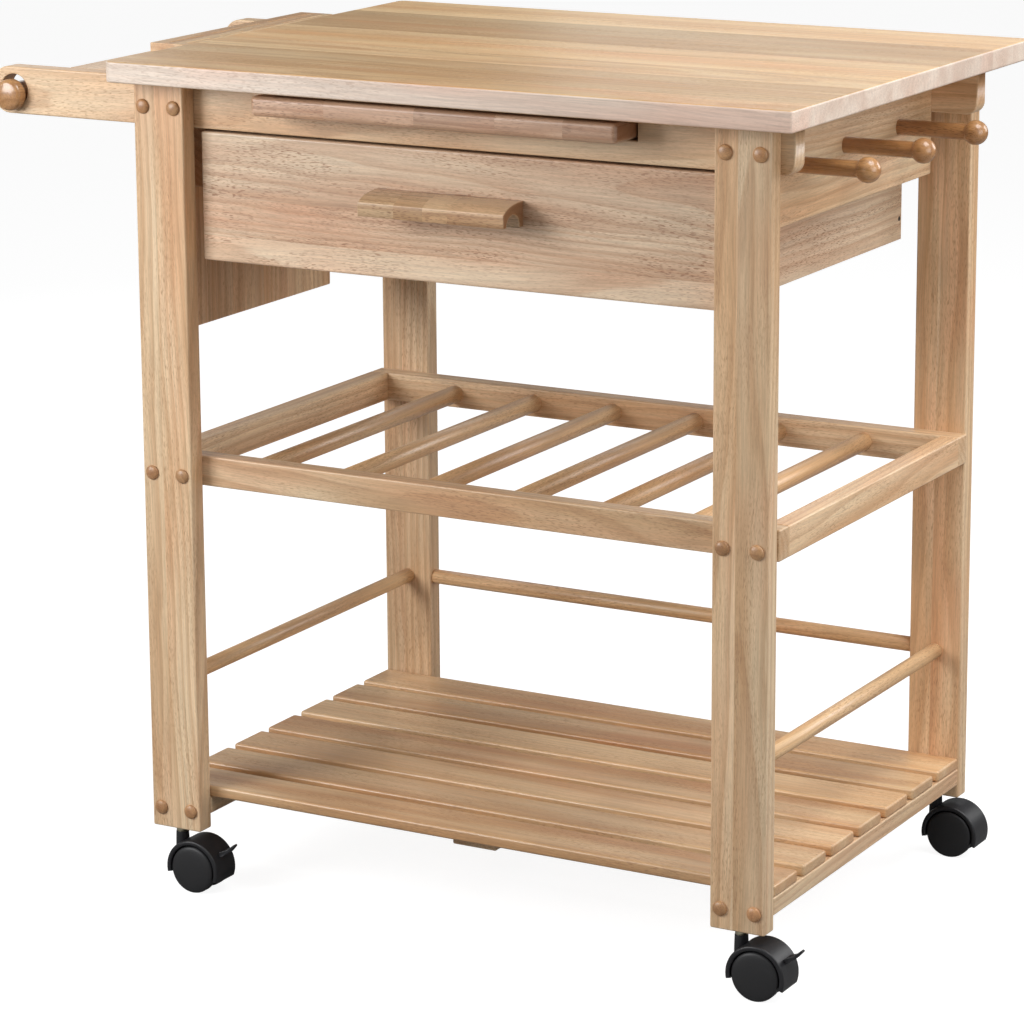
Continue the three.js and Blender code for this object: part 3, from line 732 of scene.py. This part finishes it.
def round_corner(radius, place, size, angles, side):
    """Points round a turned corner of that size, side -1 in front of its centre and 1 behind it."""
    turns = [math.radians(angle) for angle in angles]
    if side < 0:
        return [(radius + size * math.sin(a), place - size * math.cos(a)) for a in turns]
    return [(radius + size * math.cos(a), place + size * math.sin(a)) for a in turns]


def make_towel_rod():
    """The rod and its knob: a crowned face, a rounded rim and a smaller rounding behind."""
    low, high, middle = size_of("towel_rod")
    knob, front = (high.z - low.z) / 2, low.y
    back = front + KNOB_DEPTH
    profile = [(0.0, front)]
    profile += [(radius * MM, front + depth * MM) for radius, depth in KNOB_CROWN]
    profile += round_corner(knob - KNOB_FRONT_ROUND, front + 6.4 * MM, KNOB_FRONT_ROUND,
                            (5, 20, 35, 50, 65, 80, 90), -1)
    profile += [(knob, back - 4 * MM)]
    profile += round_corner(knob - KNOB_BACK_ROUND, back - KNOB_BACK_ROUND, KNOB_BACK_ROUND,
                            (15, 35, 55, 75, 90), 1)
    profile += [(ROD_RADIUS, back), (ROD_RADIUS, high.y - 2 * MM), (ROD_RADIUS - 2 * MM, high.y),
                (0.0, high.y)]
    bm = turned(profile, Y, middle, 56)
    paint_wood(bm, "towel_rod", Y)
    add_piece("towel_rod_wood", bm, TURNED_WOOD, "towel_rod", ["towel_rod"])


def cap_profile(face, sign):
    """A dome on a low rim, on the leg's outer face, which looks along sign."""
    profile = [(0.0, face - sign * 0.4 * MM), (CAP_SEAT, face - sign * 0.4 * MM),
               (CAP_SEAT, face + sign * 0.3 * MM), (CAP_RADIUS, face + sign * CAP_RIM)]
    for angle in (15, 30, 45, 60, 75, 90):
        a = math.radians(angle)
        radius = CAP_RADIUS * math.cos(a) if angle < 90 else 0.0
        profile.append((radius, face + sign * (CAP_RIM + (CAP_HEIGHT - CAP_RIM) * math.sin(a))))
    return profile


def make_caps():
    """Domed wooden caps over the bolts: three pairs on the outer face of each leg."""
    heights = [size_of(name)[2].z for name in ("front_rail", "rack_front_rail", "slat_support_left")]
    for end, sign in (("front", -1), ("rear", 1)):
        for side in ("left", "right"):
            low, high, middle = size_of(f"leg_{end}_{side}")
            profile = cap_profile(low.y if sign < 0 else high.y, sign)
            caps = []
            for z in heights:
                for offset in (-CAP_OFFSET, CAP_OFFSET):
                    centre = Vector((middle.x + offset, 0.0, z - CAP_DROP))
                    cap = turned(profile, Y, centre, 32)
                    paint_wood(cap, f"cap {end} {side} {z:.3f} {offset:.3f}", Y)
                    caps.append(cap)
            add_piece(f"bolt_caps_{end}_{side}", merged(caps), CAP_WOOD, "frame",
                      flat_faces=False)


# ---------------------------------------------------------------- casters

def make_hood(place, body, name):
    """The hood: a curved cover, a web between the wheels, and a neck."""
    axle = (place.x + CASTER_TRAIL, WHEEL_RADIUS)
    low, high = math.degrees(HOOD_LOW), math.degrees(HOOD_HIGH)
    shell = arc(axle, HOOD_OUTER, low, high, 56) + arc(axle, HOOD_INNER, high, low, 56)
    cover = plate([shell], Y, place.y - HOOD_HALF, place.y + HOOD_HALF, 1.8 * MM)
    web = arc(axle, HOOD_INNER + 1 * MM, low, high, 30)
    web += [(axle[0] - 9 * MM, axle[1] - 12 * MM), (axle[0] + 9 * MM, axle[1] - 12 * MM)]
    web = plate([web], Y, place.y - WEB_HALF, place.y + WEB_HALF, 0.6 * MM)
    top = size_of(f"leg_{name}")[0].z
    neck_top = top - RING_HEIGHT
    root = WHEEL_RADIUS + 4 * MM
    neck = turned([(0.0, root), (7.4 * MM, root), (6.9 * MM, neck_top - 8 * MM),
                   (6.6 * MM, neck_top - 0.6 * MM), (6.1 * MM, neck_top), (0.0, neck_top)], Z, place, 40)
    add_piece(f"caster_hood_{name}_shell", merged([cover, web, neck]), CASTER_PLASTIC, body,
              [f"caster_hood_{name}"])
    ring = [(0.0, neck_top - 1 * MM), (6.2 * MM, neck_top - 1 * MM), (6.2 * MM, top - 1.2 * MM),
            (5.6 * MM, top - 0.6 * MM), (4.6 * MM, top - 0.6 * MM), (4.6 * MM, top + 8 * MM),
            (0.0, top + 8 * MM)]
    add_piece(f"caster_collar_{name}", turned(ring, Z, place, 32), COLLAR_STEEL, body)


def make_wheels(place, body, name):
    """Two wheels on one axle: a crowned tread, a stepped rim and a shallow domed cover."""
    axle = Vector((place.x + CASTER_TRAIL, place.y, WHEEL_RADIUS))
    side = [(radius * MM, y * MM) for radius, y in WHEEL_PROFILE]
    profile = [(radius, place.y - y) for radius, y in side]
    profile += [(radius, place.y + y) for radius, y in reversed(side)]
    bm = turned(profile, Y, axle, 72)
    add_piece(f"caster_wheels_{name}_pair", bm, WHEEL_PLASTIC, body,
              [f"caster_wheels_{name}"])


def make_lever(side):
    """The brake lever: a tapered tab that stands out from the hood."""
    name = f"brake_lever_{side}"
    stem = size_of(f"leg_front_{side}")[2]
    pivot = HOOD_OUTER + 2.8 * MM
    centre = Vector((stem.x + CASTER_TRAIL + pivot * math.cos(LEVER_ANGLE), stem.y,
                     WHEEL_RADIUS + pivot * math.sin(LEVER_ANGLE)))
    outline = arc((0.0, 0.0), 2.7 * MM, 80, 270, 14)
    outline += [(9 * MM, -2.0 * MM), *arc((LEVER_TIP, 1.4 * MM), 1.2 * MM, -80, 100, 10),
                (8 * MM, 1.3 * MM)]
    bm = plate([outline], Y, -LEVER_HALF, LEVER_HALF, 0.6 * MM)
    for vert in bm.verts:  # narrower towards the tip
        vert.co.y *= 1.0 - 0.6 * max(0.0, min(1.0, vert.co.x / LEVER_TIP))
    bm.transform(Matrix.Translation(centre) @ Matrix.Rotation(-LEVER_ANGLE, 4, "Y"))
    add_piece(f"{name}_tab", bm, CASTER_PLASTIC, name, [name])


def make_casters():
    for end in ("front", "rear"):
        for side in ("left", "right"):
            name = f"{end}_{side}"
            place = size_of(f"leg_{name}")[2]
            make_hood(place, f"caster_hood_{name}", name)
            make_wheels(place, f"caster_wheels_{name}", name)
    make_lever("left")
    make_lever("right")


# ---------------------------------------------------------------- stage

def make_camera():
    """The camera, turned by yaw, pitch and roll from a level view along +Y."""
    yaw, pitch, roll = (math.radians(v) for v in (CAMERA_YAW, CAMERA_PITCH, CAMERA_ROLL))
    forward = Vector((-math.sin(yaw) * math.cos(pitch), math.cos(yaw) * math.cos(pitch), -math.sin(pitch)))
    right = Vector((math.cos(yaw), math.sin(yaw), 0.0))
    up = right.cross(forward)
    across = math.cos(roll) * right + math.sin(roll) * up
    upward = math.cos(roll) * up - math.sin(roll) * right
    data = bpy.data.cameras.new("camera")
    data.lens = CAMERA_LENS
    data.sensor_width = 36.0
    data.shift_y = CAMERA_SHIFT_Y
    data.clip_end = 100.0
    camera = bpy.data.objects.new("camera", data)
    turn = Matrix((across, upward, -forward)).transposed().to_4x4()
    camera.matrix_world = Matrix.Translation(CAMERA_PLACE) @ turn
    bpy.context.scene.collection.objects.link(camera)
    bpy.context.scene.camera = camera


def softbox(name, place, target, width, height, watts):
    """An area light that faces the target and that the camera doesn't see."""
    data = bpy.data.lights.new(name, "AREA")
    data.shape = "RECTANGLE"
    data.size, data.size_y = width, height
    data.energy = watts
    light = bpy.data.objects.new(name, data)
    light.location = place
    light.rotation_euler = (Vector(target) - Vector(place)).to_track_quat("-Z", "Y").to_euler()
    light.visible_camera = False
    bpy.context.scene.collection.objects.link(light)


def make_lights():
    """Soft light from the front left and from high on the right, and weak lights behind for sheen."""
    middle = (0.0, 0.0, 0.45)
    worktop = (0.1, 0.0, cad_high[Z])
    softbox("front_left", (-1.2, -1.65, 1.2), middle, 0.9, 0.9, 30)
    softbox("front", (-0.5, -2.6, 1.6), middle, 1.4, 1.4, 9)
    softbox("high_right", (1.4, -0.2, 2.9), middle, 1.5, 1.5, 56)
    softbox("right", (1.8, -0.4, 1.0), middle, 1.1, 0.9, 10)
    softbox("behind_right", (1.8, 2.0, 1.5), middle, 1.2, 1.2, 24)
    softbox("behind", (-0.5, 2.2, 1.45), worktop, 1.2, 0.5, 2.5)
    softbox("behind_left", (-2.4, 1.2, 1.4), middle, 2.2, 1.6, 10)


def make_room():
    """A pale floor in a pale room. Both look white, and send less light back to the cart than they show."""
    scene = bpy.context.scene
    scene.view_settings.view_transform = "Standard"
    world = bpy.data.worlds.new("studio")
    scene.world = world
    world.use_nodes = True
    nodes, links = world.node_tree.nodes, world.node_tree.links
    seen = nodes.new("ShaderNodeLightPath").outputs["Is Camera Ray"]
    strength = nodes.new("ShaderNodeMapRange")
    strength.inputs["To Min"].default_value = ROOM_GLOW
    strength.inputs["To Max"].default_value = ROOM_SEEN
    links.new(seen, strength.inputs["Value"])
    links.new(strength.outputs[0], nodes["Background"].inputs["Strength"])
    nodes["Background"].inputs["Color"].default_value = (1.0, 1.0, 1.0, 1.0)

    bm = bmesh.new()
    bmesh.ops.create_grid(bm, x_segments=1, y_segments=1, size=FLOOR_HALF)
    mesh = bpy.data.meshes.new("floor")
    bm.to_mesh(mesh)
    bm.free()
    s = Shader("floor")
    seen = s.add("ShaderNodeLightPath").outputs["Is Camera Ray"]
    s.set(Base_Color=(FLOOR_GREY, FLOOR_GREY, FLOOR_GREY, 1.0), Roughness=0.9,
          Emission_Color=(1.0, 1.0, 1.0, 1.0), Emission_Strength=s.math("MULTIPLY", seen, FLOOR_SEEN))
    mesh.materials.append(s.material)
    floor = bpy.data.objects.new("floor", mesh)
    scene.collection.objects.link(floor)


make_camera()
make_tabletop()
make_legs()
make_rails()
make_aprons()
make_pegs()
make_cutting_board()
make_drawer()
make_rack()
make_bottom_shelf()
make_guard_dowels()
make_knife_station()
make_towel_rod()
make_caps()
make_casters()
make_lights()
make_room()
